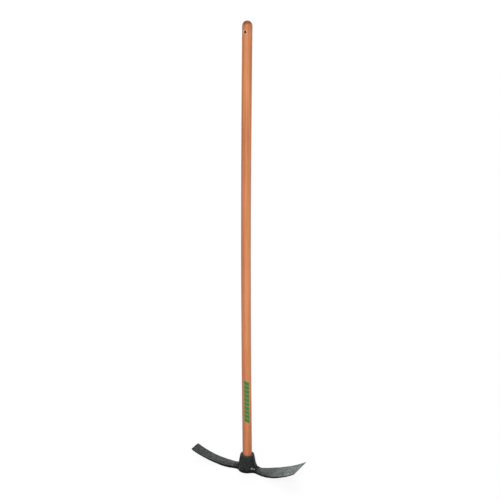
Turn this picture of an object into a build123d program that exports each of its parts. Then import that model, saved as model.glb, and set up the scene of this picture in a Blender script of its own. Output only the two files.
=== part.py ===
"""Two-bladed grub hoe: a forged head on a straight hardwood handle.

Millimetres. +Z runs up the handle, +X points to the wide blade and -X to the narrow one. The
origin is where the handle's axis meets the flat foot of the eye, flush with the handle's butt.

The head is one forging: a tapered round eye with a blade on each side. The eye is wider at its
foot than at its rim, so the handle goes in from below, grip first, until its swelled lower end
jams in the bore. A hardwood wedge in a saw cut and two stepped steel wedges hold the swell tight.
"""

from build123d import *
import os
from math import asin, cos, sin, sqrt

INCH = 25.4

# Handle
HANDLE_LENGTH = 54 * INCH
SHAFT_RADIUS = 1.125 * INCH / 2
TIP_HEIGHT = 9.5  # of the blunt cone on the grip end
TIP_FLAT_RADIUS = 6.0
TIP_ROUND = 12.0
TIP_SHOULDER_ROUND = 16.0
HANG_HOLE_RADIUS = 5.0
HANG_HOLE_DROP = 30.0  # below the grip end

# Eye
EYE_HEIGHT = 54.0
RIM_OUTER_RADIUS = 20.8
RIM_BORE_RADIUS = 15.8
FOOT_OUTER_RADIUS = 27.3
FOOT_BORE_RADIUS = 22.4
KNEE_HEIGHT = 24.0  # the flank is upright below the knee and tapers in above it
KNEE_ROUND = 100.0
FOOT_ROUND = 1.5
RIM_ROUND = 1.0

# Swell of the handle inside the eye
SEAT_HEIGHT = 30.0  # the wood bears on the bore up to here
SHOULDER_HEIGHT = 44.0  # and is down to the shaft's size here
SEAT_ROUND = 20.0
SHOULDER_ROUND = 60.0

# Blades
BLADE_ARC = 290.0  # radius of both blades' upper faces, seen from the side
EDGE_LAND = 1.8  # thickness left at the cutting edge
BEVEL_LENGTH = 6.0  # on the underside
SIDE_ROUND = 1.2  # on the long edges
NECK_START = 15.0  # the blades begin inside the eye's wall, this far from the axis
TOP_STEPS = 10  # spacing of the points the upper face is drawn through

# Wedges
KERF_DEPTH = 46.0
KERF_WEDGE_LENGTH = 40.0
KERF_WEDGE_THICK = 5.2
KERF_WEDGE_THIN = 1.2
STEEL_WEDGE_LENGTH = 28.0
STEEL_WEDGE_WIDTH = 20.0
STEEL_WEDGE_THICK = 4.2
STEEL_WEDGE_TIP = 0.6
STEEL_WEDGE_STEPS = 4
STEEL_WEDGE_BARB = 0.4  # how far each step's shoulder stands out
STEEL_WEDGE_OFFSET = 10.5


class Blade:
    """One blade's driving sizes, with X measured outwards from the handle's axis."""

    def __init__(self, side, reach, arc_start, top, thicknesses, under_start, web, widths):
        self.side = side  # +1 for the wide blade, -1 for the narrow one
        self.reach = reach  # from the axis to the upper corner of the cutting edge
        self.arc_start = arc_start  # where the upper face starts to curve up
        self.top = top  # height of the upper face there
        self.middle_thickness, self.tip_thickness = thicknesses  # the latter behind the bevel
        self.under_start = under_start  # where the underside leaves the foot's plane
        self.web_end, self.web_rise = web  # X where the web dies out, and its rise at NECK_START
        self.widths = widths  # (X, full width) down the blade


WIDE_BLADE = Blade(
    side=1,
    reach=178.5,
    arc_start=25.0,
    top=8.0,
    thicknesses=(6.3, 2.9),
    under_start=29.0,
    web=(54.0, 25.4),
    widths=((15.0, 30.0), (34.0, 28.5), (57.5, 44.8), (97.0, 65.6), (138.0, 75.0), (179.5, 83.0)),
)
NARROW_BLADE = Blade(
    side=-1,
    reach=184.0,
    arc_start=61.0,
    top=8.7,
    thicknesses=(6.0, 4.1),
    under_start=50.0,
    web=(63.0, 24.0),
    widths=((15.0, 30.0), (34.0, 27.5), (59.0, 35.0), (101.0, 36.6), (144.0, 38.8), (184.9, 42.0)),
)


def bore_radius(height):
    """Radius of the eye's tapered bore at a height above its foot."""
    return FOOT_BORE_RADIUS + (RIM_BORE_RADIUS - FOOT_BORE_RADIUS) * height / EYE_HEIGHT


def make_eye():
    """The eye with its bore still filled, so that the blades can be joined to it first."""
    corners = [
        (0, 0),
        (FOOT_OUTER_RADIUS, 0),
        (FOOT_OUTER_RADIUS, KNEE_HEIGHT),
        (RIM_OUTER_RADIUS, EYE_HEIGHT),
        (0, EYE_HEIGHT),
    ]
    path = FilletPolyline(*corners, radius=(FOOT_ROUND, KNEE_ROUND, RIM_ROUND))
    half = make_face(Plane.XZ * Wire([*path.edges(), Line(corners[-1], corners[0])]))
    return revolve(half, Axis.Z)


def make_bore():
    """The tapered hole through the eye, run on a little past both of its faces."""
    run = 1.0
    low = (bore_radius(-run), -run)
    high = (bore_radius(EYE_HEIGHT + run), EYE_HEIGHT + run)
    half = Polyline((0, low[1]), low, high, (0, high[1]), close=True)
    return revolve(make_face(Plane.XZ * half), Axis.Z)


def top_height(blade, x):
    """Height of a blade's upper face at x: flat, then its arc, plus the web against the eye."""
    on_arc = max(x - blade.arc_start, 0)
    in_web = max(blade.web_end - x, 0) / (blade.web_end - NECK_START)
    return blade.top + BLADE_ARC - sqrt(BLADE_ARC**2 - on_arc**2) + blade.web_rise * in_web**3


def side_outline(blade):
    """A blade seen from the side, out along +X: upper face, edge, bevel and underside."""
    xs = [NECK_START + (blade.reach - NECK_START) * i / TOP_STEPS for i in range(TOP_STEPS + 1)]
    top = [(x, top_height(blade, x)) for x in xs]
    tip = top[-1]
    # The edge is square to the upper face, and the bevel runs back from its foot.
    slope = asin((blade.reach - blade.arc_start) / BLADE_ARC)
    land = (tip[0] + EDGE_LAND * sin(slope), tip[1] - EDGE_LAND * cos(slope))
    bevel_x = tip[0] - BEVEL_LENGTH * cos(slope)
    bevel_z = tip[1] - BEVEL_LENGTH * sin(slope)
    under = (bevel_x + blade.tip_thickness * sin(slope), bevel_z - blade.tip_thickness * cos(slope))
    start = (NECK_START, 0)
    leave = (blade.under_start, 0)
    middle_x = (leave[0] + under[0]) / 2
    middle = (middle_x, top_height(blade, middle_x) - blade.middle_thickness)
    return Wire([
        Line(start, top[0]),
        Spline(*top),
        Line(tip, land),
        Line(land, under),
        ThreePointArc(under, middle, leave),
        Line(leave, start),
    ])


def plan_outline(blade):
    """A blade seen from above: splines down both sides, square at the neck and the edge."""
    near = [(x, -width / 2) for x, width in blade.widths]
    far = [(x, width / 2) for x, width in reversed(blade.widths)]
    return Wire([
        Spline(*near),
        Line(near[-1], far[0]),
        Spline(*far),
        Line(far[-1], near[0]),
    ])


def make_blade(blade):
    """A blade is where its side and plan outlines, each extruded, meet."""
    width = blade.widths[-1][1]
    side = extrude(make_face(Plane.XZ * side_outline(blade)), width, both=True)
    plan = extrude(make_face(plan_outline(blade)), blade.reach, both=True)
    solid = side & plan
    long_edges = [edge for edge in solid.edges() if edge.length > blade.reach * 0.7]
    solid = fillet(long_edges, SIDE_ROUND)
    return solid if blade.side > 0 else mirror(solid, Plane.YZ)


def make_head():
    """The whole forging: eye and both blades, then the bore through all three."""
    head = make_eye() + make_blade(WIDE_BLADE) + make_blade(NARROW_BLADE)
    return head - make_bore()


def make_turned_handle():
    """The handle as it leaves the lathe: swelled butt, straight shaft, blunt rounded tip."""
    corners = [
        (0, 0),
        (FOOT_BORE_RADIUS, 0),
        (bore_radius(SEAT_HEIGHT), SEAT_HEIGHT),
        (SHAFT_RADIUS, SHOULDER_HEIGHT),
        (SHAFT_RADIUS, HANDLE_LENGTH - TIP_HEIGHT),
        (TIP_FLAT_RADIUS, HANDLE_LENGTH),
        (0, HANDLE_LENGTH),
    ]
    rounds = (0, SEAT_ROUND, SHOULDER_ROUND, TIP_SHOULDER_ROUND, TIP_ROUND)
    path = FilletPolyline(*corners, radius=rounds)
    half = make_face(Plane.XZ * Wire([*path.edges(), Line(corners[-1], corners[0])]))
    return revolve(half, Axis.Z)


def make_slab(length):
    """The tapered slot sawn and driven into the butt: thin along Y, right across X."""
    thin = KERF_WEDGE_THICK + (KERF_WEDGE_THIN - KERF_WEDGE_THICK) * length / KERF_DEPTH
    half_foot = KERF_WEDGE_THICK / 2
    half_top = thin / 2
    outline = Polyline(
        (-half_foot, 0), (half_foot, 0), (half_top, length), (-half_top, length), close=True
    )
    return extrude(make_face(Plane.YZ * outline), 2 * FOOT_BORE_RADIUS, both=True)


def make_steel_wedge(x):
    """A stepped steel wedge across the saw cut: each step's shoulder bites in the wood."""
    step = STEEL_WEDGE_LENGTH / STEEL_WEDGE_STEPS
    taper = (STEEL_WEDGE_THICK - STEEL_WEDGE_TIP) / 2 / STEEL_WEDGE_STEPS
    right = []
    for i in range(STEEL_WEDGE_STEPS):
        half = STEEL_WEDGE_THICK / 2 - i * taper
        right += [(half, i * step), (half - taper - STEEL_WEDGE_BARB / 2, (i + 1) * step)]
    left = [(-y, z) for y, z in reversed(right)]
    outline = Polyline(*right, *left, close=True)
    return Pos(x, 0, 0) * extrude(make_face(Plane.XZ * outline), STEEL_WEDGE_WIDTH / 2, both=True)


def make_hang_hole():
    """The drill through the grip end, along Y."""
    drill = Rot(90, 0, 0) * Cylinder(HANG_HOLE_RADIUS, 4 * SHAFT_RADIUS)
    return Pos(0, 0, HANDLE_LENGTH - HANG_HOLE_DROP) * drill


def make_parts():
    """Every sub-part, in its place."""
    turned = make_turned_handle()
    wedges = [make_steel_wedge(side * STEEL_WEDGE_OFFSET) for side in (-1, 1)]
    handle = turned - make_slab(KERF_DEPTH) - make_hang_hole()
    kerf_wedge = turned & make_slab(KERF_WEDGE_LENGTH)
    for wedge in wedges:
        handle -= wedge
        kerf_wedge -= wedge
    return {
        "hoe_head": make_head(),
        "handle": handle,
        "kerf_wedge": kerf_wedge,
        "steel_wedge_narrow_side": wedges[0],
        "steel_wedge_wide_side": wedges[1],
    }


os.makedirs("parts", exist_ok=True)
for name, solid in make_parts().items():
    export_step(solid, f"parts/{name}.step")
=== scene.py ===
"""Looks for the two-bladed grub hoe: a painted forging on a lacquered hardwood handle.

Metres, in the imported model's frame: +Z runs up the handle, +X points to the wide blade and -X to
the narrow one. The head and the handle are rebuilt here with the softened edges, relief and bow
that the real pieces have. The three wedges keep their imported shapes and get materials.
"""

from math import asin, atan2, cos, radians, sin, sqrt, tau

import bpy
import numpy as np
from mathutils import Matrix, Quaternion, Vector


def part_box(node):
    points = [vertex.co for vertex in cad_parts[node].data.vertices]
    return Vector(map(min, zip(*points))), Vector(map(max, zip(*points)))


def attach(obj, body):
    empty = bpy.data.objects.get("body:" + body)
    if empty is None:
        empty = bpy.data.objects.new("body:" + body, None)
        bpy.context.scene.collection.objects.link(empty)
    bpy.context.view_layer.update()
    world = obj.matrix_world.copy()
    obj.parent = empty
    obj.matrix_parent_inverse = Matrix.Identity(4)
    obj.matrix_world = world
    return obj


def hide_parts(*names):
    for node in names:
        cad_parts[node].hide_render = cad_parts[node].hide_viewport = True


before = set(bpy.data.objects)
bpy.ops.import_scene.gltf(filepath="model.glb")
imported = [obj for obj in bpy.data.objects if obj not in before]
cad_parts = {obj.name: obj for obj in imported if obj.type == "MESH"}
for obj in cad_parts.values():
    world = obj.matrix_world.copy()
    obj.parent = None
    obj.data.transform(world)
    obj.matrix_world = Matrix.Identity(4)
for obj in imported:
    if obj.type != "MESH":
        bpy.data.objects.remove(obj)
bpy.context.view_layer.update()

MM = 0.001

# Handle
HANDLE_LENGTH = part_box("handle")[1].z
SHAFT_RADIUS = 14.2875 * MM
BUTT_RECESS = 0.3 * MM  # the end grain stops this far inside the eye's foot
BUTT_CHAMFER = 0.6 * MM
FOOT_BORE_RADIUS = 22.4 * MM
RIM_BORE_RADIUS = 15.8 * MM
WOOD_GAP = 0.05 * MM  # holds the wood's skin just off the bore's
SEAT_HEIGHT = 30.0 * MM
SHOULDER_HEIGHT = 44.0 * MM
TIP_HEIGHT = 9.5 * MM
TIP_FLAT_RADIUS = 6.0 * MM
TIP_CENTRE_RADIUS = 0.2 * MM  # of the small face that closes the tip on the axis
HANDLE_BOW = 4.4 * MM  # towards the narrow blade, half-way up
TIP_LEAN = 1.2 * MM  # the same way, at the grip end
HANDLE_SIDES = 96
HANDLE_RINGS = 60

# How far each rounded corner of the handle's outline reaches along its two runs
BUTT_ROUND = 0.3 * MM
SEAT_ROUND = 2.5 * MM
SHOULDER_ROUND = 7.0 * MM
TIP_SHOULDER_ROUND = 6.0 * MM
TIP_ROUND = 5.5 * MM
ROUND_STEPS = 6

# Hang hole
HANG_HOLE_HEIGHT = HANDLE_LENGTH - 30.0 * MM
HANG_HOLE_RADIUS = 5.0 * MM
HANG_HOLE_CHAMFER = 0.8 * MM
DRILL_OVERRUN = 4.0 * MM  # past the shaft's two sides
DRILL_SIDES = 40
HOLE_RINGS = 6  # closer rings of the handle's mesh, each way from the hole's middle
HOLE_RING_PITCH = 1.5 * MM
HOLE_RING_CLEARANCE = 10.0 * MM  # the plain rings keep this far off

# Printed mark on the shaft
MARK_LOW = 167.0 * MM
MARK_HIGH = 302.0 * MM
MARK_HALF_WIDTH = 7.3 * MM
MARK_BAR_PITCH = 13.5 * MM
MARK_BAR_SHARE = 0.9
MARK_SLANT = 0.5
MARK_TURN = radians(27.4)  # the side it is printed on, from -Y towards +X
MARK_BLUR = 0.15 * MM
MARK_WEAR = (0.3, 0.62, 1.0, 0.94)  # a range of the wood's fibres, and the ink left at its ends

# Eye
EYE_HEIGHT = 54.0 * MM
RIM_OUTER_RADIUS = 20.8 * MM
FOOT_OUTER_RADIUS = 27.3 * MM
KNEE_HEIGHT = 24.0 * MM
KNEE_BLEND = 5.0 * MM
RIM_BLEND = 1.4 * MM
FOOT_BLEND = 1.8 * MM
BORE_EDGE_BLEND = 1.0 * MM

# Blades
BLADE_ARC = 290.0 * MM
NECK_START = 15.0 * MM
NECK_BLEND = 4.5 * MM  # how widely a blade's neck flows into the eye
SIDE_BLEND = 1.6 * MM
CORNER_BLEND = 3.0 * MM
EDGE_LAND = 1.8 * MM
BEVEL_LENGTH = 6.0 * MM

# Head mesh
HEAD_CELL = 0.9 * MM
HEAD_MARGIN = 2 * HEAD_CELL
SHARP_ANGLE = radians(35)  # smooth shading stops at edges sharper than this
RELIEF = 0.22 * MM
RELIEF_WAVES = (  # radians per metre along X, Y and Z, and a phase
    (140, 90, 60, 0.3),
    (-95, 160, 110, 1.7),
    (210, -130, 170, 4.1),
    (260, 240, -150, 2.6),
    (-330, 180, 290, 5.2),
)
HAMMER_MARKS = (  # X, Y, Z, radius and rise out of the steel in millimetres, and share painted with a glint
    (23.4, -16.4, 14.4, 2.6, 0.6, 0.5),
    (24.9, -15.3, 16.4, 2.8, 0.7, 0.6),
    (26.8, -14.2, 18.6, 2.4, 0.4, 0.4),
    (30.4, -11.8, 13.8, 2.8, 0.6, 0.6),
    (36.0, -12.5, 9.5, 3.2, -0.8, 0.0),
    (27.5, 13.0, 14.0, 3.0, -0.8, 0.0),
    (-29.5, -13.6, 10.5, 2.8, -1.1, 0.0),
    (-34.0, -13.4, 11.0, 2.2, 0.6, 0.3),
    (-38.5, -13.1, 10.5, 2.8, -1.1, 0.0),
    (-43.5, -14.5, 9.5, 2.4, 0.5, 0.2),
    (-31.0, 12.5, 11.5, 2.8, -0.8, 0.0),
)

# Camera
CAMERA_TURN = radians(27.4)  # from square-on, towards the wide blade
CAMERA_PITCH = radians(19.49)
CAMERA_DISTANCE = 3.7768
CAMERA_LENS = 94.5
CAMERA_SENSOR = 36.0
VIEW_DEPTH = 100.0
AIM_HEIGHT = 0.71185
AIM_SHIFT = 0.0072
CAMERA_ROLL = radians(0.1)

# Light
HORIZON_STRENGTH = 1.0
SKY_STRENGTH = 0.03
HORIZON_BAND = (radians(11), radians(13))  # the horizon's white ends and the sky starts here
FLOOR_RADIUS = 30.0
FLOOR_SIDES = 64
FLOOR_SHADE = 0.12
FLOOR_GLOW = 0.875
KEY_LIGHT = (radians(25), radians(38), 3.3)  # turn as the camera's, rise and strength
BACK_LIGHT = (radians(207), radians(45), 1.55)
LIGHT_SPREAD = radians(50)

# Colours, as 8-bit display values
PAINT_DEEP = (17, 19, 18)
# The painted shade's near-black
PAINTED_SHADE_BLACK = (3, 3, 3)
PAINT_SHEEN = (41, 44, 43)
# Worn paint and painted sheen, also the rim's painted highlight
PAINT_WORN_AND_SHEEN = (146, 156, 154)
# Painted glints' colour, a pale steel
PAINTED_GLINT_STEEL = (176, 182, 186)
WOOD_PALE = (202, 133, 87)
WOOD_RED = (184, 113, 69)
WOOD_LATE = (142, 78, 43)
WOOD_PORE = (92, 44, 26)
WOOD_END = (100, 42, 26)
# Torn pale wood, also a painted highlight
WOOD_TORN_AND_HIGHLIT = (222, 184, 150)
WOOD_SOILED = (132, 52, 18)
PRINT_INK = (0, 104, 45)
WEDGE_PALE = (208, 176, 132)
WEDGE_DARK = (170, 132, 88)
WEDGE_PORE = (110, 80, 52)
STEEL_DULL = (132, 132, 134)
STEEL_BRIGHT = (168, 168, 170)
RUST = (104, 62, 40)

# Noise: features per metre, all ways or along X, Y and Z, then detail, roughness and distortion
PAINT_STREAKS = ((16, 120, 60), 5, 0.65, 0.5)
PAINT_PATCHES = (62, 4, 0.6)
PAINT_MOTTLE = (160, 4, 0.65)
PAINT_CHIPS = ((240, 100, 240), 2)
PAINT_DENTS = (75,)
PAINT_GRIT = (900, 2)
SPOT_EDGES = (520, 2)
RING_WAVER = ((25, 25, 2.2), 2)
WOOD_STREAKS = ((230, 230, 3), 3)
WOOD_FIBRES = ((700, 700, 9), 4, 0.6)
WOOD_PORES = ((1500, 1500, 45), 2)
WOOD_CLOUD = ((30, 30, 4), 3)
WOOD_TEARS = (190, 2)
WEDGE_RINGS = ((60, 900, 25), 3)
WEDGE_PORES = (2200, 2)
STEEL_BRUSHING = ((2600, 160, 160), 3)
STEEL_DENTS = (420, 2)
STEEL_RUST = (260, 4)

# Ranges of a place, of a direction or of noise, then what their ends give where not 0 and 1
# Paler upper faces: partly worn paint, partly painted sheen
WEAR_AND_SHEEN_FACING_UP = (0.4, 0.8)
WEAR_AND_SHEEN_FROM_AXIS = (30 * MM, 50 * MM)
WIDE_SIDE = (-20 * MM, 20 * MM)
WIDE_WEAR_AND_SHEEN = (60 * MM, 170 * MM, 0.06, 0.66)  # out along the wide blade
# Painted light across the blades, lighter on the far half
FAR_HALF_LIGHT = (-18 * MM, 14 * MM, -1.0, 0.6)
FAR_HALF_LIGHT_FADE = (35 * MM, 120 * MM, 0.9, 0.12)
STREAK_WEAR = (0.3, 0.7, 0.78, 1.22)
PATCH_WEAR = (0.3, 0.7, 0.72, 1.28)
MOTTLE_WEAR = (0.3, 0.7, 0.4, 1.6)
CHIPPED = (0.5, 0.6)
CHIPPED_PLACE = (100 * MM, 130 * MM, 0.0, 0.75)  # along X
EDGE_BAND = (5.0 * MM, 3.5 * MM)  # behind a cutting edge
# Painted highlight on the rim's top
RIM_HIGHLIGHT = (EYE_HEIGHT - 1.6 * MM, EYE_HEIGHT - 0.4 * MM, 0.0, 0.1)
RIM_HIGHLIGHT_PATCHES = (0.4, 0.6, 0.0, 1.6)
# Where painted shade darkens the paint
SHADE_FROM_AXIS = (30 * MM, 38 * MM)
SHADE_FOOT = (16 * MM, 5 * MM)
SHADE_SIDES = (0.4, 0.1)
SHADE_UNDERSIDE = (-0.9, -0.6, 0.3, 1.0)
SHADE_RIM = (EYE_HEIGHT - 3 * MM, EYE_HEIGHT - 1 * MM, 0.0, 0.6)
PAINT_MOTTLED = (0.35, 0.65)
PAINT_ROUGHNESS = (0.35, 0.65, 0.4, 0.52)
LATE_WOOD_RISE = (0.35, 0.95)  # across one growth ring
LATE_WOOD_FALL = (1.0, 0.95)
CLOUD_SHARE = (0.3, 0.7)
STREAK_SHARE = (0.42, 0.68, 0.0, 0.45)
FIBRE_SHARE = (0.45, 0.75, 0.0, 0.3)
PORE_SHARE = (0.62, 0.72, 0.0, 0.35)
# Painted shade down one side of the handle
SIDE_SHADE_SHARE = (0.1 * SHAFT_RADIUS, 0.95 * SHAFT_RADIUS, 0.0, 0.5)
TIP_SHARE = (HANDLE_LENGTH - 40 * MM, HANDLE_LENGTH - 8 * MM, 0.0, 0.25)
SOILED_SHARE = (250 * MM, 60 * MM, 0.0, 0.3)
END_GRAIN_SHARE = (0.25, 0.85, 0.0, 0.75)
# Torn wood round the hang hole, also a painted highlight on its chamfers
TORN_AND_HIGHLIT_RING = (HANG_HOLE_RADIUS + 2.2 * MM, HANG_HOLE_RADIUS + 1.0 * MM)
TORN_AND_HIGHLIT_SHARE = (0.45, 0.6, 0.0, 0.8)
LACQUER_ROUGHNESS = (0.3, 0.7, 0.4, 0.5)
WEDGE_RING_SHARE = (0.35, 0.65)
WEDGE_PORE_SHARE = (0.6, 0.7, 0.0, 0.5)
STEEL_BRIGHTNESS = (0.3, 0.7)
STEEL_RUSTED = (0.55, 0.68)

# Shares
# Partly worn paint, partly painted sheen
BLADE_WEAR_AND_SHEEN = 0.1  # on both blades, besides the wide one's own
EDGE_BAND_WEAR = -0.3
SPOT_RAGGEDNESS = 2.4  # this and the next two are shares of a hammer mark's radius
SPOT_OUTSIDE = 0.9
SPOT_INSIDE = 0.5
LATE_WOOD_SHARE = 0.4
LATE_WOOD_RELIEF = -0.3  # beside the fibres' own
RUST_SHARE = 0.6
BRUSHED_RELIEF = 0.2  # beside the dents' own

# How far each bumpy surface stands in and out
PAINT_DENT_DEPTH = 1.2 * MM
PAINT_GRIT_DEPTH = 0.12 * MM
GRAIN_DEPTH = 0.12 * MM
WEDGE_PORE_DEPTH = 0.1 * MM
STEEL_DENT_DEPTH = 0.3 * MM

# Growth rings
RINGS_ACROSS = (0.84, 0.54, 0.0)  # the way from one ring to the next
RINGS_PER_METRE = 240.0
RING_WAVER_DEPTH = 12.0 * MM


# ---------------------------------------------------------------- the head's shape


class Blade:
    """One blade's driving sizes, with distances measured outwards from the handle's axis."""

    def __init__(self, side, reach, arc_start, top, thicknesses, under_start, web, widths):
        self.side = side
        self.reach = reach * MM
        self.arc_start = arc_start * MM
        self.top = top * MM
        self.web_end, self.web_rise = (value * MM for value in web)
        self.width_at = smooth_curve([(x * MM, width * MM) for x, width in widths])
        self.slope = asin((self.reach - self.arc_start) / BLADE_ARC)
        self.tip = (self.reach, self.top_height(self.reach))
        middle_thickness, self.tip_thickness = (value * MM for value in thicknesses)
        # The underside is one arc from the foot's plane to the heel of the bevel.
        leave = (under_start * MM, 0.0)
        heel = (
            self.reach - BEVEL_LENGTH * cos(self.slope) + self.tip_thickness * sin(self.slope),
            self.tip[1] - BEVEL_LENGTH * sin(self.slope) - self.tip_thickness * cos(self.slope),
        )
        middle_x = (leave[0] + heel[0]) / 2
        middle = (middle_x, self.top_height(middle_x) - middle_thickness)
        self.under_centre, self.under_arc = circle_through(leave, middle, heel)

    def top_height(self, out):
        """Height of the upper face's arc, without the web."""
        return self.top + BLADE_ARC - sqrt(BLADE_ARC**2 - (out - self.arc_start) ** 2)


def circle_through(a, b, c):
    """Centre and radius of the circle through three points."""
    rows = [[2 * (p[0] - a[0]), 2 * (p[1] - a[1])] for p in (b, c)]
    sums = [p[0] ** 2 + p[1] ** 2 - a[0] ** 2 - a[1] ** 2 for p in (b, c)]
    centre = np.linalg.solve(rows, sums)
    return centre, float(np.hypot(*(centre - a)))


def smooth_curve(points):
    """A smooth function through (x, y) points, level beyond both ends."""
    xs, ys = np.array(points).T
    slopes = np.gradient(ys, xs)

    def curve(x):
        x = np.clip(x, xs[0], xs[-1])
        i = np.clip(np.searchsorted(xs, x) - 1, 0, len(xs) - 2)
        run = xs[i + 1] - xs[i]
        t = (x - xs[i]) / run
        start = (1 + 2 * t) * (1 - t) ** 2 * ys[i] + t * (1 - t) ** 2 * run * slopes[i]
        end = t * t * (3 - 2 * t) * ys[i + 1] + t * t * (t - 1) * run * slopes[i + 1]
        return start + end

    return curve


WIDE_BLADE = Blade(
    side=1,
    reach=178.5,
    arc_start=25.0,
    top=8.0,
    thicknesses=(6.3, 2.9),
    under_start=29.0,
    web=(54.0, 25.4),
    widths=((15.0, 30.0), (34.0, 28.5), (57.5, 44.8), (97.0, 65.6), (138.0, 75.0), (179.5, 83.0)),
)
NARROW_BLADE = Blade(
    side=-1,
    reach=184.0,
    arc_start=61.0,
    top=8.7,
    thicknesses=(6.0, 4.1),
    under_start=50.0,
    web=(63.0, 24.0),
    widths=((15.0, 30.0), (34.0, 27.5), (59.0, 35.0), (101.0, 36.6), (144.0, 38.8), (184.9, 42.0)),
)


def smooth_max(a, b, width):
    """The larger of two fields, rounded over this width where they cross."""
    near = np.maximum(width - np.abs(a - b), 0) / width
    return np.maximum(a, b) + near * near * width / 4


def smooth_min(a, b, width):
    """The smaller of two fields, filleted over this width where they cross."""
    return -smooth_max(-a, -b, width)


def eye_field(r, z):
    """Distance outside the eye's flank, rim and foot, with the bore filled."""
    lean = atan2(FOOT_OUTER_RADIUS - RIM_OUTER_RADIUS, EYE_HEIGHT - KNEE_HEIGHT)
    wall = r - FOOT_OUTER_RADIUS
    cone = wall * cos(lean) + (z - KNEE_HEIGHT) * sin(lean)
    flank = smooth_max(wall, cone, KNEE_BLEND)
    return smooth_max(smooth_max(flank, z - EYE_HEIGHT, RIM_BLEND), -z, FOOT_BLEND)


def bore_field(r, z):
    """Distance inside the bore's wall: positive in the hole."""
    lean = atan2(FOOT_BORE_RADIUS - RIM_BORE_RADIUS, EYE_HEIGHT)
    return (FOOT_BORE_RADIUS - r) * cos(lean) - z * sin(lean)


def blade_field(blade, x, y, z):
    """Distance outside one blade, which is drawn out along +X and turned by its side."""
    out = x * blade.side
    on_arc = np.maximum(out - blade.arc_start, 0)
    in_web = np.clip((blade.web_end - out) / (blade.web_end - NECK_START), 0, 1)
    upper = BLADE_ARC - np.hypot(on_arc, blade.top + BLADE_ARC - z) - blade.web_rise * in_web**3
    under = np.hypot(out - blade.under_centre[0], z - blade.under_centre[1]) - blade.under_arc
    side = np.abs(y) - blade.width_at(out) / 2
    # Past the tip: along the blade, and up square to it.
    along_x, along_z = cos(blade.slope), sin(blade.slope)
    past = (out - blade.tip[0]) * along_x + (z - blade.tip[1]) * along_z
    above = (z - blade.tip[1]) * along_x - (out - blade.tip[0]) * along_z
    fall = blade.tip_thickness - EDGE_LAND
    bevel = (past * fall - (above + EDGE_LAND) * BEVEL_LENGTH) / np.hypot(fall, BEVEL_LENGTH)
    faces = np.maximum(np.maximum(upper, under), bevel)
    rounded = smooth_max(faces, smooth_max(side, past, CORNER_BLEND), SIDE_BLEND)
    return np.maximum(np.maximum(rounded, past), NECK_START - out)


def relief_field(x, y, z):
    """How far the forging's gentle unevenness and its hammer marks stand out."""
    waves = [np.sin(x * a + y * b + z * c + d) for a, b, c, d in RELIEF_WAVES]
    relief = RELIEF * sum(waves) / len(waves)
    for mark in HAMMER_MARKS:
        mark_x, mark_y, mark_z, radius, rise = (value * MM for value in mark[:5])
        away = (x - mark_x) ** 2 + (y - mark_y) ** 2 + (z - mark_z) ** 2
        relief = relief + rise * np.exp(-away / radius**2)
    return relief


def head_field(x, y, z):
    """Distance outside the whole forging: negative in the steel."""
    r = np.hypot(x, y)
    blades = np.minimum(blade_field(WIDE_BLADE, x, y, z), blade_field(NARROW_BLADE, x, y, z))
    steel = smooth_min(eye_field(r, z), blades, NECK_BLEND)
    steel = steel - relief_field(x, y, z)
    steel = smooth_max(steel, -z, FOOT_BLEND)
    return smooth_max(steel, bore_field(r, z), BORE_EDGE_BLEND)


# ---------------------------------------------------------------- meshes


def gradient(field, points):
    """Unit outward directions of a field at points."""
    step = 0.02 * MM
    rows = []
    for axis in range(3):
        shift = np.zeros(3)
        shift[axis] = step
        rows.append(field(*(points + shift).T) - field(*(points - shift).T))
    normals = np.stack(rows, axis=1)
    return normals / np.maximum(np.linalg.norm(normals, axis=1, keepdims=True), 1e-12)


def skin(field, low, high, cell):
    """Vertices and quads of a field's zero surface, with sharp edges kept (dual contouring).

    Each lattice edge that the surface crosses gives one quad, and each cell around such an edge
    gives one vertex, at the point that fits the surface's planes where it crosses the cell.
    """
    counts = [int((high[axis] - low[axis]) / cell) + 2 for axis in range(3)]
    lines = [low[axis] + cell * np.arange(counts[axis]) for axis in range(3)]
    values = field(*np.meshgrid(*lines, indexing="ij", sparse=True))
    strides = np.array([counts[1] * counts[2], counts[2], 1])
    cells, crossings, quads = [], [], []
    for axis in range(3):
        near = np.take(values, range(counts[axis] - 1), axis)
        far = np.take(values, range(1, counts[axis]), axis)
        index = np.argwhere((near < 0) != (far < 0))
        inside = near[tuple(index.T)]
        outside = far[tuple(index.T)]
        point = np.array(low) + cell * index
        point[:, axis] += cell * inside / (inside - outside)
        second, third = (axis + 1) % 3, (axis + 2) % 3
        here = index @ strides
        ring = np.stack(
            [
                here,
                here - strides[second],
                here - strides[second] - strides[third],
                here - strides[third],
            ],
            axis=1,
        )
        outward = inside < 0
        quads.append(np.where(outward[:, None], ring, ring[:, ::-1]))
        cells.append(ring.ravel())
        crossings.append(np.repeat(point, 4, axis=0))
    cells = np.concatenate(cells)
    crossings = np.concatenate(crossings)
    quads = np.concatenate(quads)
    names, member = np.unique(cells, return_inverse=True)
    member = member.ravel()
    count = np.bincount(member)
    centre = np.stack([np.bincount(member, crossings[:, k]) / count for k in range(3)], axis=1)
    normals = gradient(field, crossings)
    offset = np.sum(normals * (crossings - centre[member]), axis=1)
    pull = 0.08  # holds a vertex near the middle of its crossings where the surface is flat
    matrix = np.empty((len(names), 3, 3))
    right = np.empty((len(names), 3))
    for i in range(3):
        right[:, i] = np.bincount(member, normals[:, i] * offset)
        for j in range(3):
            matrix[:, i, j] = np.bincount(member, normals[:, i] * normals[:, j])
            matrix[:, i, j] += pull * (i == j)
    move = np.linalg.solve(matrix, right[:, :, None])[:, :, 0]
    vertices = centre + np.clip(move, -cell, cell)
    return vertices, np.searchsorted(names, quads)


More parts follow.
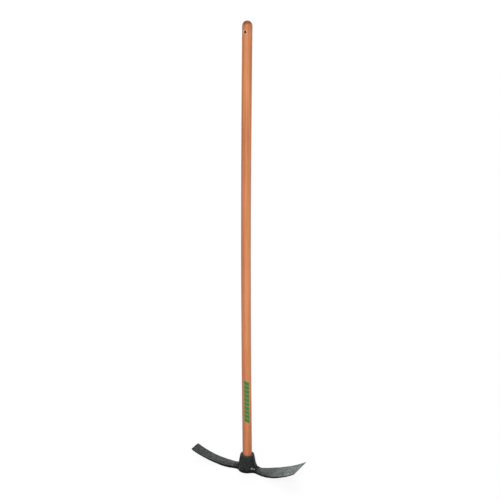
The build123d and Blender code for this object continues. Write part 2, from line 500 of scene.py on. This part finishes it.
def new_object(name, vertices, faces):
    """A mesh object, shaded smooth except over its sharp edges."""
    mesh = bpy.data.meshes.new(name)
    mesh.from_pydata(vertices, [], faces)
    mesh.validate()
    mesh.shade_smooth()
    mesh.set_sharp_from_angle(angle=SHARP_ANGLE)
    obj = bpy.data.objects.new(name, mesh)
    bpy.context.scene.collection.objects.link(obj)
    return obj


def make_head():
    """The forging, skinned from its field."""
    low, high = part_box("hoe_head")
    margin = Vector((1, 1, 1)) * HEAD_MARGIN
    vertices, quads = skin(head_field, low - margin, high + margin, HEAD_CELL)
    return new_object("forged_head", vertices.tolist(), quads.tolist())


def lathe(profile, sides):
    """Vertices and faces of (radius, height) points turned about Z, with flat ends."""
    vertices = []
    faces = []
    for radius, height in profile:
        for i in range(sides):
            turn = tau * i / sides
            vertices.append((radius * cos(turn), radius * sin(turn), height))
    for ring in range(len(profile) - 1):
        for i in range(sides):
            a = ring * sides + i
            b = ring * sides + (i + 1) % sides
            faces.append((a, b, b + sides, a + sides))
    faces.append(tuple(reversed(range(sides))))
    faces.append(tuple(range((len(profile) - 1) * sides, len(profile) * sides)))
    return vertices, faces


def rounded_path(corners):
    """Points along straight runs whose corners are cut by parabolas of the given reach."""
    points = [corners[0][0]]
    for (before, _), (corner, reach), (after, _) in zip(corners, corners[1:], corners[2:]):
        before, corner, after = Vector(before), Vector(corner), Vector(after)
        start = corner + (before - corner).normalized() * reach
        end = corner + (after - corner).normalized() * reach
        for i in range(ROUND_STEPS + 1):
            t = i / ROUND_STEPS
            points.append(tuple(start.lerp(corner, t).lerp(corner.lerp(end, t), t)))
    points.append(corners[-1][0])
    return points


def handle_profile():
    """The handle's outline as (radius, height) points from the butt to the tip."""
    seat_share = SEAT_HEIGHT / EYE_HEIGHT
    seat_radius = FOOT_BORE_RADIUS + (RIM_BORE_RADIUS - FOOT_BORE_RADIUS) * seat_share
    butt_radius = FOOT_BORE_RADIUS - WOOD_GAP
    corners = [
        ((butt_radius - BUTT_CHAMFER, BUTT_RECESS), 0),
        ((butt_radius, BUTT_RECESS + BUTT_CHAMFER), BUTT_ROUND),
        ((seat_radius - WOOD_GAP, SEAT_HEIGHT), SEAT_ROUND),
        ((SHAFT_RADIUS, SHOULDER_HEIGHT), SHOULDER_ROUND),
        ((SHAFT_RADIUS, HANDLE_LENGTH - TIP_HEIGHT), TIP_SHOULDER_ROUND),
        ((TIP_FLAT_RADIUS, HANDLE_LENGTH), TIP_ROUND),
        ((TIP_CENTRE_RADIUS, HANDLE_LENGTH), 0),
    ]
    points = rounded_path(corners)
    split = next(i for i, (_, height) in enumerate(points) if height > HANDLE_LENGTH / 2)
    low = points[split - 1][1]
    high = points[split][1]
    rings = [low + (high - low) * i / HANDLE_RINGS for i in range(1, HANDLE_RINGS)]
    plain = [ring for ring in rings if abs(ring - HANG_HOLE_HEIGHT) > HOLE_RING_CLEARANCE]
    near_hole = [HANG_HOLE_HEIGHT + i * HOLE_RING_PITCH for i in range(-HOLE_RINGS, HOLE_RINGS + 1)]
    shaft = [(SHAFT_RADIUS, ring) for ring in sorted(plain + near_hole)]
    return points[:split] + shaft + points[split:]


def make_drill():
    """The hang hole's cutter, flared at both of its mouths to chamfer them."""
    mouth = SHAFT_RADIUS - HANG_HOLE_CHAMFER
    far = SHAFT_RADIUS + DRILL_OVERRUN
    wide = HANG_HOLE_RADIUS + HANG_HOLE_CHAMFER + DRILL_OVERRUN
    profile = [
        (wide, -far),
        (HANG_HOLE_RADIUS, -mouth),
        (HANG_HOLE_RADIUS, mouth),
        (wide, far),
    ]
    drill = new_object("drill", *lathe(profile, DRILL_SIDES))
    lift = Matrix.Translation((0, 0, HANG_HOLE_HEIGHT))
    drill.matrix_world = lift @ Matrix.Rotation(tau / 4, 4, "X")
    return drill


def cut(obj, cutters):
    """Takes each cutter's solid out of an object's mesh."""
    for cutter in cutters:
        modifier = obj.modifiers.new("cut", "BOOLEAN")
        modifier.operation = "DIFFERENCE"
        modifier.solver = "EXACT"
        modifier.object = cutter
    bpy.context.view_layer.update()
    evaluated = obj.evaluated_get(bpy.context.evaluated_depsgraph_get())
    result = bpy.data.meshes.new_from_object(evaluated)
    obj.modifiers.clear()
    old = obj.data
    obj.data = result
    bpy.data.meshes.remove(old)


def bow_at(height):
    """How far the handle's axis stands off to the narrow blade's side at a height."""
    if height < EYE_HEIGHT:
        return 0.0
    share = (height - EYE_HEIGHT) / (HANDLE_LENGTH - EYE_HEIGHT)
    return HANDLE_BOW * sin(tau / 2 * share) + TIP_LEAN * share


def make_handle():
    """The turned handle, drilled, cut for its wedges and bowed as it has dried."""
    handle = new_object("wood_handle", *lathe(handle_profile(), HANDLE_SIDES))
    drill = make_drill()
    wedges = [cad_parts[name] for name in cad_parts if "wedge" in name]
    cut(handle, [drill, *wedges])
    bpy.data.objects.remove(drill)
    # The grain and the printed mark follow the wood as it was before it bowed.
    mesh = handle.data
    straight = mesh.attributes.new("straight", "FLOAT_VECTOR", "POINT")
    for vertex, item in zip(mesh.vertices, straight.data):
        item.vector = vertex.co
        vertex.co.x -= bow_at(vertex.co.z)
    mesh.shade_smooth()
    mesh.set_sharp_from_angle(angle=SHARP_ANGLE)
    return handle


# ---------------------------------------------------------------- materials


class Nodes:
    """A material's node tree, with short calls for the nodes it uses most."""

    def __init__(self, name):
        self.material = bpy.data.materials.new(name)
        self.material.use_nodes = True
        self.tree = self.material.node_tree
        self.shader = self.tree.nodes["Principled BSDF"]

    def add(self, kind, inputs=None, **settings):
        """A node of this kind: settings are its properties, inputs its sockets' values or links."""
        node = self.tree.nodes.new(kind)
        for key, value in settings.items():
            setattr(node, key, value)
        for key, value in (inputs or {}).items():
            self.feed(node.inputs[key], value)
        return node

    def feed(self, socket, value):
        """Links a socket to an output, or gives it a plain value."""
        if isinstance(value, bpy.types.NodeSocket):
            self.tree.links.new(value, socket)
        else:
            socket.default_value = value

    def math(self, operation, a, b=0.0, c=0.0):
        """The result of one arithmetic step."""
        return self.add("ShaderNodeMath", {0: a, 1: b, 2: c}, operation=operation).outputs[0]

    def product(self, first, *others):
        """Several values multiplied together."""
        for value in others:
            first = self.math("MULTIPLY", first, value)
        return first

    def span(self, value, low, high, to_low=0.0, to_high=1.0):
        """Value stretched smoothly from one range to another, and held at its ends."""
        inputs = {"Value": value, 1: low, 2: high, 3: to_low, 4: to_high}
        node = self.add("ShaderNodeMapRange", inputs, interpolation_type="SMOOTHSTEP")
        return node.outputs[0]

    def mix(self, share, a, b):
        """Colour a turning into colour b."""
        node = self.add("ShaderNodeMix", data_type="RGBA")
        self.feed(node.inputs[0], share)
        self.feed(node.inputs[6], a)
        self.feed(node.inputs[7], b)
        return node.outputs[2]

    def split(self, vector):
        """The three parts of a vector."""
        return tuple(self.add("ShaderNodeSeparateXYZ", {0: vector}).outputs)

    def vector_math(self, operation, a, b):
        """One number from two vectors."""
        return self.add("ShaderNodeVectorMath", {0: a, 1: b}, operation=operation).outputs["Value"]

    def up(self):
        """How far the surface faces upwards, from -1 to 1."""
        return self.split(self.add("ShaderNodeNewGeometry").outputs["Normal"])[2]

    def stretch(self, vector, scale):
        """Coordinates multiplied along each axis."""
        inputs = {0: vector, 1: scale}
        return self.add("ShaderNodeVectorMath", inputs, operation="MULTIPLY").outputs[0]

    def noise(self, vector, scale, detail=3, roughness=0.5, distortion=0.0):
        """Cloudy noise between about 0.3 and 0.7, its scale one number or one for each axis."""
        if isinstance(scale, tuple):
            vector = self.stretch(vector, scale)
            scale = 1
        inputs = {
            "Vector": vector,
            "Scale": scale,
            "Detail": detail,
            "Roughness": roughness,
            "Distortion": distortion,
        }
        return self.add("ShaderNodeTexNoise", inputs).outputs["Fac"]

    def bump(self, height, distance, normal=None):
        """A bumped normal, with the height's full range standing this far out."""
        inputs = {"Height": height, "Distance": distance, "Strength": 1.0}
        if normal is not None:
            inputs["Normal"] = normal
        return self.add("ShaderNodeBump", inputs).outputs[0]

    def set(self, **sockets):
        """Feeds the shader's sockets, written with underscores for spaces."""
        for key, value in sockets.items():
            self.feed(self.shader.inputs[key.replace("_", " ")], value)


def rgb(display):
    """A linear colour from 8-bit display values."""
    shares = [value / 255 for value in display]
    linear = [v / 12.92 if v <= 0.04045 else ((v + 0.055) / 1.055) ** 2.4 for v in shares]
    return (*linear, 1.0)


def edge_band(n, blade, x, z):
    """One along the last few millimetres of a blade, just behind its cutting edge."""
    along = n.math("MULTIPLY", x, blade.side * cos(blade.slope))
    along = n.math("MULTIPLY_ADD", z, sin(blade.slope), along)
    end = blade.tip[0] * cos(blade.slope) + blade.tip[1] * sin(blade.slope)
    return n.span(along, end - EDGE_BAND[0], end - EDGE_BAND[1])


def painted_glint_spots(n, place):
    """Ragged painted glints on the hammer marks that stand out of the steel, as pale steel-coloured
    spots.
    """
    ragged = n.math("SUBTRACT", n.noise(place, *SPOT_EDGES), 0.5)
    spots = 0.0
    for mark in HAMMER_MARKS:
        centre = tuple(value * MM for value in mark[:3])
        radius, glint_share = mark[3] * MM, mark[5]
        if glint_share:
            away = n.vector_math("DISTANCE", place, centre)
            away = n.math("MULTIPLY_ADD", ragged, SPOT_RAGGEDNESS * radius, away)
            spot = n.span(away, SPOT_OUTSIDE * radius, SPOT_INSIDE * radius, 0.0, glint_share)
            spots = n.math("MAXIMUM", spots, spot)
    return spots


def wear_and_sheen_mask(n, place, patches, mottle):
    """How pale the paint is on the blades' upper faces, mostly in streaks and patches: partly worn
    paint, partly painted sheen, with a painted highlight on the rim.
    """
    x, y, z = n.split(place)
    out = n.math("ABSOLUTE", x)
    # The wide blade is the paler of the two, and palest towards its edge, partly from worn paint and
    # partly from painted sheen.
    wide = n.product(n.span(x, *WIDE_SIDE), n.span(out, *WIDE_WEAR_AND_SHEEN))
    # Painted light: near the eye the far half of each blade is lighter than the near half.
    far_half_light = n.product(n.span(y, *FAR_HALF_LIGHT), n.span(out, *FAR_HALF_LIGHT_FADE))
    chipped = n.product(n.span(n.noise(place, *PAINT_CHIPS), *CHIPPED), n.span(x, *CHIPPED_PLACE))
    wear_and_sheen = n.product(
        n.span(n.up(), *WEAR_AND_SHEEN_FACING_UP),
        n.span(out, *WEAR_AND_SHEEN_FROM_AXIS),
        n.math("ADD", wide, BLADE_WEAR_AND_SHEEN),
        n.math("ADD", far_half_light, 1.0),
        n.span(n.noise(place, *PAINT_STREAKS), *STREAK_WEAR),
        n.span(patches, *PATCH_WEAR),
        n.span(mottle, *MOTTLE_WEAR),
        n.math("SUBTRACT", 1.0, chipped),
    )
    for blade in (WIDE_BLADE, NARROW_BLADE):
        band = edge_band(n, blade, x, z)
        wear_and_sheen = n.product(wear_and_sheen, n.math("MULTIPLY_ADD", band, EDGE_BAND_WEAR, 1.0))
    # A painted highlight along the rim's top, in patches.
    rim = n.product(n.span(z, *RIM_HIGHLIGHT), n.span(patches, *RIM_HIGHLIGHT_PATCHES))
    return n.math("MAXIMUM", wear_and_sheen, rim)


def painted_shade_mask(n, place):
    """How far painted shade turns the paint nearly black: most on the blades' long sides and the eye's
    foot and rim.
    """
    x, _, z = n.split(place)
    up = n.up()
    from_axis = n.math("ABSOLUTE", x)
    low_or_out = n.math("MAXIMUM", n.span(from_axis, *SHADE_FROM_AXIS), n.span(z, *SHADE_FOOT))
    sides = n.product(low_or_out, n.span(up, *SHADE_SIDES), n.span(up, *SHADE_UNDERSIDE))
    return n.math("MAXIMUM", sides, n.span(z, *SHADE_RIM))


def head_material():
    """Dark mottled paint over a forged skin, paler on the blades' upper faces from worn paint and
    painted sheen, with painted shade and painted glints.
    """
    n = Nodes("forged_paint")
    place = n.add("ShaderNodeTexCoord").outputs["Object"]
    patches = n.noise(place, *PAINT_PATCHES)
    mottle = n.noise(place, *PAINT_MOTTLE)
    colour = n.mix(n.span(mottle, *PAINT_MOTTLED), rgb(PAINT_DEEP), rgb(PAINT_SHEEN))
    # Painted shade: near black on the blades' long sides, the eye's foot and the rim
    colour = n.mix(painted_shade_mask(n, place), colour, rgb(PAINTED_SHADE_BLACK))
    # Paler upper faces: partly worn paint, partly painted sheen, and a painted highlight on the rim
    colour = n.mix(wear_and_sheen_mask(n, place, patches, mottle), colour, rgb(PAINT_WORN_AND_SHEEN))
    # Painted glints on the raised hammer marks
    colour = n.mix(painted_glint_spots(n, place), colour, rgb(PAINTED_GLINT_STEEL))
    normal = n.bump(n.noise(place, *PAINT_DENTS), PAINT_DENT_DEPTH)
    normal = n.bump(n.noise(place, *PAINT_GRIT), PAINT_GRIT_DEPTH, normal)
    n.set(Base_Color=colour, Roughness=n.span(patches, *PAINT_ROUGHNESS), Normal=normal)
    n.set(Specular_IOR_Level=0.1)
    return n.material


def print_mask(n, place, height, fibres):
    """One where the printed blocks' ink lies: slanted, evenly pitched, and a little worn."""
    across = n.vector_math("DOT_PRODUCT", place, (cos(MARK_TURN), sin(MARK_TURN), 0.0))
    front = n.vector_math("DOT_PRODUCT", place, (sin(MARK_TURN), -cos(MARK_TURN), 0.0))
    middle = (MARK_LOW + MARK_HIGH) / 2
    half_height = (MARK_HIGH - MARK_LOW) / 2
    soft = MARK_BLUR / MARK_BAR_PITCH
    from_side = n.math("ABSOLUTE", across)
    in_width = n.span(from_side, MARK_HALF_WIDTH + MARK_BLUR, MARK_HALF_WIDTH - MARK_BLUR)
    slanted = n.math("MULTIPLY_ADD", across, MARK_SLANT, height)
    from_middle = n.math("ABSOLUTE", n.math("SUBTRACT", slanted, middle))
    in_height = n.span(from_middle, half_height + MARK_BLUR, half_height - MARK_BLUR)
    phase = n.math("FRACT", n.math("DIVIDE", n.math("SUBTRACT", slanted, MARK_LOW), MARK_BAR_PITCH))
    start = n.span(phase, 0.0, 2 * soft)
    end = n.span(phase, MARK_BAR_SHARE + soft, MARK_BAR_SHARE - soft)
    worn = n.span(fibres, *MARK_WEAR)
    return n.product(in_width, in_height, start, end, worn, n.math("GREATER_THAN", front, 0.0))


def late_wood_mask(n, place):
    """The dark part of each growth ring, in sheets along the axis that waver slowly."""
    depth = n.vector_math("DOT_PRODUCT", place, RINGS_ACROSS)
    depth = n.math("MULTIPLY_ADD", n.noise(place, *RING_WAVER), RING_WAVER_DEPTH, depth)
    ring = n.math("FRACT", n.math("MULTIPLY", depth, RINGS_PER_METRE))
    return n.product(n.span(ring, *LATE_WOOD_RISE), n.span(ring, *LATE_WOOD_FALL))


def torn_and_highlit_mask(n, place):
    """How pale the wood is round the mouths of the hang hole: torn where the drill came out, and a
    painted highlight on the chamfers.
    """
    hole = (0.0, 0.0, HANG_HOLE_HEIGHT)
    from_hole = n.vector_math("DISTANCE", n.stretch(place, (1.0, 0.0, 1.0)), hole)
    return n.product(n.span(from_hole, *TORN_AND_HIGHLIT_RING), n.span(n.noise(place, *WOOD_TEARS), *TORN_AND_HIGHLIT_SHARE))


def handle_material():
    """Orange-brown stained hardwood under satin lacquer, with green printed blocks and painted shade
    down one side.
    """
    n = Nodes("lacquered_hardwood")
    place = n.add("ShaderNodeAttribute", attribute_name="straight").outputs["Vector"]
    height = n.split(place)[2]
    late_wood = late_wood_mask(n, place)
    fibres = n.noise(place, *WOOD_FIBRES)
    pores = n.noise(place, *WOOD_PORES)
    # The side of the handle that gets painted shade
    shaded_side = n.vector_math("DOT_PRODUCT", place, (-cos(MARK_TURN), -sin(MARK_TURN), 0.0))
    colour = n.mix(n.span(n.noise(place, *WOOD_CLOUD), *CLOUD_SHARE), rgb(WOOD_RED), rgb(WOOD_PALE))
    layers = (
        (n.span(n.noise(place, *WOOD_STREAKS), *STREAK_SHARE), WOOD_LATE),
        (n.math("MULTIPLY", late_wood, LATE_WOOD_SHARE), WOOD_LATE),
        (n.span(fibres, *FIBRE_SHARE), WOOD_LATE),
        (n.span(pores, *PORE_SHARE), WOOD_PORE),
        # Painted shade: the wood is darker all the way up on the side to the camera's left.
        (n.span(shaded_side, *SIDE_SHADE_SHARE), WOOD_LATE),
        # The wood is darker towards the tip, and dirt darkens it near the head.
        (n.span(height, *TIP_SHARE), WOOD_END),
        (n.span(height, *SOILED_SHARE), WOOD_SOILED),
        # End grain drinks more stain.
        (n.span(n.math("ABSOLUTE", n.up()), *END_GRAIN_SHARE), WOOD_END),
        # Torn wood round the hang hole, also a painted highlight on its chamfers
        (torn_and_highlit_mask(n, place), WOOD_TORN_AND_HIGHLIT),
        (print_mask(n, place, height, fibres), PRINT_INK),
    )
    for share, layer in layers:
        colour = n.mix(share, colour, rgb(layer))
    grain = n.math("SUBTRACT", fibres, pores)
    grain = n.math("MULTIPLY_ADD", late_wood, LATE_WOOD_RELIEF, grain)
    rough = n.span(fibres, *LACQUER_ROUGHNESS)
    n.set(Base_Color=colour, Roughness=rough, Normal=n.bump(grain, GRAIN_DEPTH))
    n.set(Specular_IOR_Level=0.25, Coat_Weight=0.1, Coat_Roughness=0.25)
    return n.material


def wedge_wood_material():
    """Bare pale hardwood, seen on its sawn end."""
    n = Nodes("wedge_hardwood")
    place = n.add("ShaderNodeTexCoord").outputs["Object"]
    rings = n.noise(place, *WEDGE_RINGS)
    pores = n.noise(place, *WEDGE_PORES)
    colour = n.mix(n.span(rings, *WEDGE_RING_SHARE), rgb(WEDGE_PALE), rgb(WEDGE_DARK))
    colour = n.mix(n.span(pores, *WEDGE_PORE_SHARE), colour, rgb(WEDGE_PORE))
    n.set(Base_Color=colour, Roughness=0.75, Normal=n.bump(pores, WEDGE_PORE_DEPTH))
    return n.material


def wedge_steel_material():
    """Rolled steel, hammered flush, with rust starting in the dents."""
    n = Nodes("hammered_steel")
    place = n.add("ShaderNodeTexCoord").outputs["Object"]
    brushed = n.noise(place, *STEEL_BRUSHING)
    rust = n.span(n.noise(place, *STEEL_RUST), *STEEL_RUSTED)
    colour = n.mix(n.span(brushed, *STEEL_BRIGHTNESS), rgb(STEEL_DULL), rgb(STEEL_BRIGHT))
    colour = n.mix(n.math("MULTIPLY", rust, RUST_SHARE), colour, rgb(RUST))
    dents = n.math("MULTIPLY_ADD", brushed, BRUSHED_RELIEF, n.noise(place, *STEEL_DENTS))
    rough = n.math("MULTIPLY_ADD", rust, 0.4, 0.34)
    metal = n.math("MULTIPLY_ADD", rust, -RUST_SHARE, 1.0)
    n.set(Base_Color=colour, Roughness=rough, Metallic=metal, Normal=n.bump(dents, STEEL_DENT_DEPTH))
    return n.material


def floor_material():
    """A plain pale floor, lit a little from below so that shadows on it stay faint."""
    n = Nodes("pale_floor")
    n.set(Base_Color=(*[FLOOR_SHADE] * 3, 1.0), Roughness=0.9, Specular_IOR_Level=0.1)
    n.set(Emission_Color=(1.0, 1.0, 1.0, 1.0), Emission_Strength=FLOOR_GLOW)
    return n.material


def dress(obj, material):
    """Puts one material on a whole object."""
    if obj.data.materials:
        for i in range(len(obj.data.materials)):
            obj.data.materials[i] = material
    else:
        obj.data.materials.append(material)


# ---------------------------------------------------------------- stage


def make_floor():
    """A round floor in the plane of the eye's foot, large enough to fill the view."""
    turns = [tau * i / FLOOR_SIDES for i in range(FLOOR_SIDES)]
    vertices = [(FLOOR_RADIUS * cos(turn), FLOOR_RADIUS * sin(turn), 0.0) for turn in turns]
    floor = new_object("floor", vertices, [tuple(range(FLOOR_SIDES))])
    dress(floor, floor_material())
    return floor


def make_sun(name, turn, rise, strength):
    """A distant soft light, wide enough to keep its shadows faint."""
    light = bpy.data.lights.new(name, "SUN")
    light.energy = strength
    light.angle = LIGHT_SPREAD
    sun = bpy.data.objects.new(name, light)
    flat = Vector((sin(turn), -cos(turn), 0.0))
    towards = flat * cos(rise) + Vector((0, 0, sin(rise)))
    sun.rotation_euler = towards.to_track_quat("Z", "Y").to_euler()
    bpy.context.scene.collection.objects.link(sun)


def make_world():
    """White light from low down all round, so that side views are on white, and little above."""
    world = bpy.data.worlds.new("studio")
    world.use_nodes = True
    tree = world.node_tree
    direction = tree.nodes.new("ShaderNodeTexCoord")
    split = tree.nodes.new("ShaderNodeSeparateXYZ")
    fade = tree.nodes.new("ShaderNodeMapRange")
    fade.interpolation_type = "SMOOTHSTEP"
    fade.inputs["From Min"].default_value = sin(HORIZON_BAND[0])
    fade.inputs["From Max"].default_value = sin(HORIZON_BAND[1])
    fade.inputs["To Min"].default_value = HORIZON_STRENGTH
    fade.inputs["To Max"].default_value = SKY_STRENGTH
    background = tree.nodes["Background"]
    background.inputs["Color"].default_value = (1.0, 1.0, 1.0, 1.0)
    tree.links.new(direction.outputs["Generated"], split.inputs[0])
    tree.links.new(split.outputs["Z"], fade.inputs["Value"])
    tree.links.new(fade.outputs[0], background.inputs["Strength"])
    bpy.context.scene.world = world


def make_camera():
    """The camera, turned and pitched about a point just beside the handle's middle."""
    flat = Vector((sin(CAMERA_TURN), -cos(CAMERA_TURN), 0.0))
    back = flat * cos(CAMERA_PITCH) + Vector((0, 0, sin(CAMERA_PITCH)))
    right = Vector((cos(CAMERA_TURN), sin(CAMERA_TURN), 0.0))
    aim = Vector((0, 0, AIM_HEIGHT)) + right * AIM_SHIFT
    data = bpy.data.cameras.new("camera")
    data.lens = CAMERA_LENS
    data.sensor_width = CAMERA_SENSOR
    data.clip_end = VIEW_DEPTH
    camera = bpy.data.objects.new("camera", data)
    camera.location = aim + back * CAMERA_DISTANCE
    level = (-back).to_track_quat("-Z", "Y")
    camera.rotation_euler = (level @ Quaternion((0, 0, 1), CAMERA_ROLL)).to_euler()
    bpy.context.scene.collection.objects.link(camera)
    bpy.context.scene.camera = camera


make_camera()
make_world()
make_sun("key", *KEY_LIGHT)
make_sun("back", *BACK_LIGHT)
make_floor()
bpy.context.scene.view_settings.view_transform = "Standard"

head = make_head()
dress(head, head_material())
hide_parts("hoe_head")
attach(head, "root")

handle = make_handle()
dress(handle, handle_material())
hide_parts("handle")
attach(handle, "root")

dress(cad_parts["kerf_wedge"], wedge_wood_material())
steel = wedge_steel_material()
dress(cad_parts["steel_wedge_narrow_side"], steel)
dress(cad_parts["steel_wedge_wide_side"], steel)
